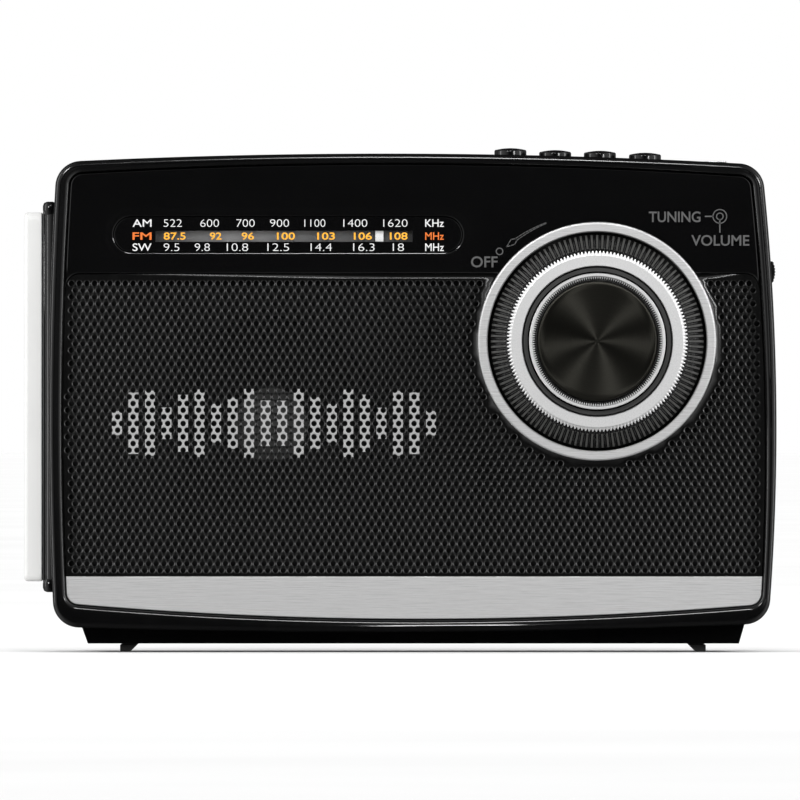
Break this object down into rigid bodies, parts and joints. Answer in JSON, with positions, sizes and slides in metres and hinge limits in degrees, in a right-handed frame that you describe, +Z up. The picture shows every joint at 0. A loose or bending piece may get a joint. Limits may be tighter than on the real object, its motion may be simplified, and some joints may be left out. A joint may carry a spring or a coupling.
{
  "type": "shortwave receiver",
  "caption": "Portable three-band radio: bulging cabinet with grille, slide-rule scale, concentric tuning and volume dial, side lamp, push keys, folding handle and telescopic aerial.",
  "frame": {"origin": "middle of the bounding box, on the surface the feet stand on", "axes": "+X to the right seen from the front, +Y to the back, +Z up; the dial faces -Y"},
  "size_m": [0.23, 0.078, 0.1542],
  "materials": {
    "gloss_black": "high gloss black moulding",
    "satin_black": "fine satin black moulding",
    "grille_black": "black enamelled perforated sheet",
    "brushed_aluminium": "horizontally brushed",
    "spun_dark_metal": "radially spun dark anodised",
    "plated_steel": "zinc plated",
    "aerial_chrome": "polished",
    "brass": "machined",
    "white_plastic": "translucent white moulding",
    "dial_window": "clear window printed black behind",
    "foot_rubber": "moulded rubber",
    "speaker_card": "pressed paper",
    "ferrite": "sintered ferrite",
    "copper_wire": "enamelled copper",
    "circuit_board": "solder mask",
    "cell_sleeve": "printed sleeve",
    "dial_cord": "braided cord"
  },
  "bodies": {
    "cabinet": {"front_case": "gloss_black", "upper_panel": "gloss_black", "lamp_base": "gloss_black", "rear_case": "satin_black", "base_plinth": "satin_black", "mains_inlet": "satin_black", "grille_plate": "grille_black", "trim_bar": "brushed_aluminium", "dial_ring": "brushed_aluminium", "scale_backing": "plated_steel", "tuning_capacitor": "plated_steel", "volume_pot": "plated_steel", "speaker_basket": "plated_steel", "case_screw_1": "plated_steel", "case_screw_2": "plated_steel", "case_screw_3": "plated_steel", "case_screw_4": "plated_steel", "battery_contact": "plated_steel", "battery_spring": "plated_steel", "band_switch": "plated_steel", "usb_socket": "plated_steel", "lamp_diffuser": "white_plastic", "scale_lens": "dial_window", "foot_front_left": "foot_rubber", "foot_front_right": "foot_rubber", "foot_back_left": "foot_rubber", "foot_back_right": "foot_rubber", "speaker_cone": "speaker_card", "speaker_dust_cap": "speaker_card", "speaker_magnet": "ferrite", "ferrite_rod": "ferrite", "ferrite_coil": "copper_wire", "main_board": "circuit_board", "button_board": "circuit_board", "lamp_led_board": "circuit_board", "battery_cell_1": "cell_sleeve", "battery_cell_2": "cell_sleeve", "battery_cell_3": "cell_sleeve", "dial_cord": "dial_cord"},
    "tuning_dial": {"tuning_knob": "satin_black", "tuning_knob_trim": "brushed_aluminium", "tuning_shaft": "brass", "cord_drum": "satin_black"},
    "pointer": {"tuning_pointer": "white_plastic"},
    "pulley_left": {"pulley_left": "brass"},
    "pulley_right": {"pulley_right": "brass"},
    "volume_dial": {"volume_knob": "satin_black", "volume_knob_cap": "spun_dark_metal", "volume_shaft": "plated_steel"},
    "button_1": {"push_button_1": "gloss_black"},
    "button_2": {"push_button_2": "gloss_black"},
    "button_3": {"push_button_3": "gloss_black"},
    "button_4": {"push_button_4": "gloss_black"},
    "band_selector": {"band_slider": "satin_black"},
    "battery_door": {"battery_door": "satin_black"},
    "handle": {"carrying_handle": "satin_black"},
    "aerial_base": {"aerial_base": "aerial_chrome"},
    "aerial_lower": {"aerial_tube_lower": "aerial_chrome"},
    "aerial_middle": {"aerial_tube_middle": "aerial_chrome"},
    "aerial_tip": {"aerial_tip_rod": "aerial_chrome"}
  },
  "joints": [
    {"name": "tuning_turn", "type": "hinge", "parent": "cabinet", "child": "tuning_dial", "pos_m": [0.0602, -0.03, 0.095], "axis": [0, 1, 0], "range_deg": [-160, 20]},
    {"name": "pointer_slide", "type": "slide", "parent": "cabinet", "child": "pointer", "axis": [1, 0, 0], "range_m": [-0.0668, 0.0084]},
    {"name": "pulley_left_turn", "type": "hinge", "parent": "cabinet", "child": "pulley_left", "pos_m": [-0.082, -0.0145, 0.129], "axis": [0, 1, 0], "range_deg": [-1275, 160]},
    {"name": "pulley_right_turn", "type": "hinge", "parent": "cabinet", "child": "pulley_right", "pos_m": [0.084, -0.0145, 0.129], "axis": [0, 1, 0], "range_deg": [-1275, 160]},
    {"name": "volume_turn", "type": "hinge", "parent": "cabinet", "child": "volume_dial", "pos_m": [0.0602, -0.036, 0.095], "axis": [0, 1, 0], "range_deg": [0, 300]},
    {"name": "button_1_press", "type": "slide", "parent": "cabinet", "child": "button_1", "axis": [0, 0, -1], "range_m": [0, 0.0012], "stiffness_N_per_m": 400, "springref_m": -0.0005},
    {"name": "button_2_press", "type": "slide", "parent": "cabinet", "child": "button_2", "axis": [0, 0, -1], "range_m": [0, 0.0012], "stiffness_N_per_m": 400, "springref_m": -0.0005},
    {"name": "button_3_press", "type": "slide", "parent": "cabinet", "child": "button_3", "axis": [0, 0, -1], "range_m": [0, 0.0012], "stiffness_N_per_m": 400, "springref_m": -0.0005},
    {"name": "button_4_press", "type": "slide", "parent": "cabinet", "child": "button_4", "axis": [0, 0, -1], "range_m": [0, 0.0012], "stiffness_N_per_m": 400, "springref_m": -0.0005},
    {"name": "band_slide", "type": "slide", "parent": "cabinet", "child": "band_selector", "axis": [0, 0, 1], "range_m": [-0.004, 0.004]},
    {"name": "battery_door_hinge", "type": "hinge", "parent": "cabinet", "child": "battery_door", "pos_m": [0, 0.039, 0.0105], "axis": [-1, 0, 0], "range_deg": [0, 85]},
    {"name": "handle_fold", "type": "hinge", "parent": "cabinet", "child": "handle", "pos_m": [0.0035, 0.0095, 0.1461], "axis": [1, 0, 0], "range_deg": [0, 95]},
    {"name": "aerial_swivel", "type": "hinge", "parent": "cabinet", "child": "aerial_base", "pos_m": [0.097, 0.0355, 0.1425], "axis": [0, 0, -1], "range_deg": [0, 100]},
    {"name": "aerial_elbow", "type": "hinge", "parent": "aerial_base", "child": "aerial_lower", "pos_m": [0.097, 0.0355, 0.1475], "axis": [0, 1, 0], "range_deg": [0, 90]},
    {"name": "aerial_extend_middle", "type": "slide", "parent": "aerial_lower", "child": "aerial_middle", "axis": [-1, 0, 0], "range_m": [0, 0.16]},
    {"name": "aerial_extend_tip", "type": "slide", "parent": "aerial_middle", "child": "aerial_tip", "axis": [-1, 0, 0], "range_m": [0, 0.155]}
  ],
  "couplings": [
    {"joint": "pointer_slide", "follows": "tuning_turn", "m_per_rad": 0.0239},
    {"joint": "pulley_left_turn", "follows": "tuning_turn", "ratio": 7.9667},
    {"joint": "pulley_right_turn", "follows": "tuning_turn", "ratio": 7.9667}
  ]
}
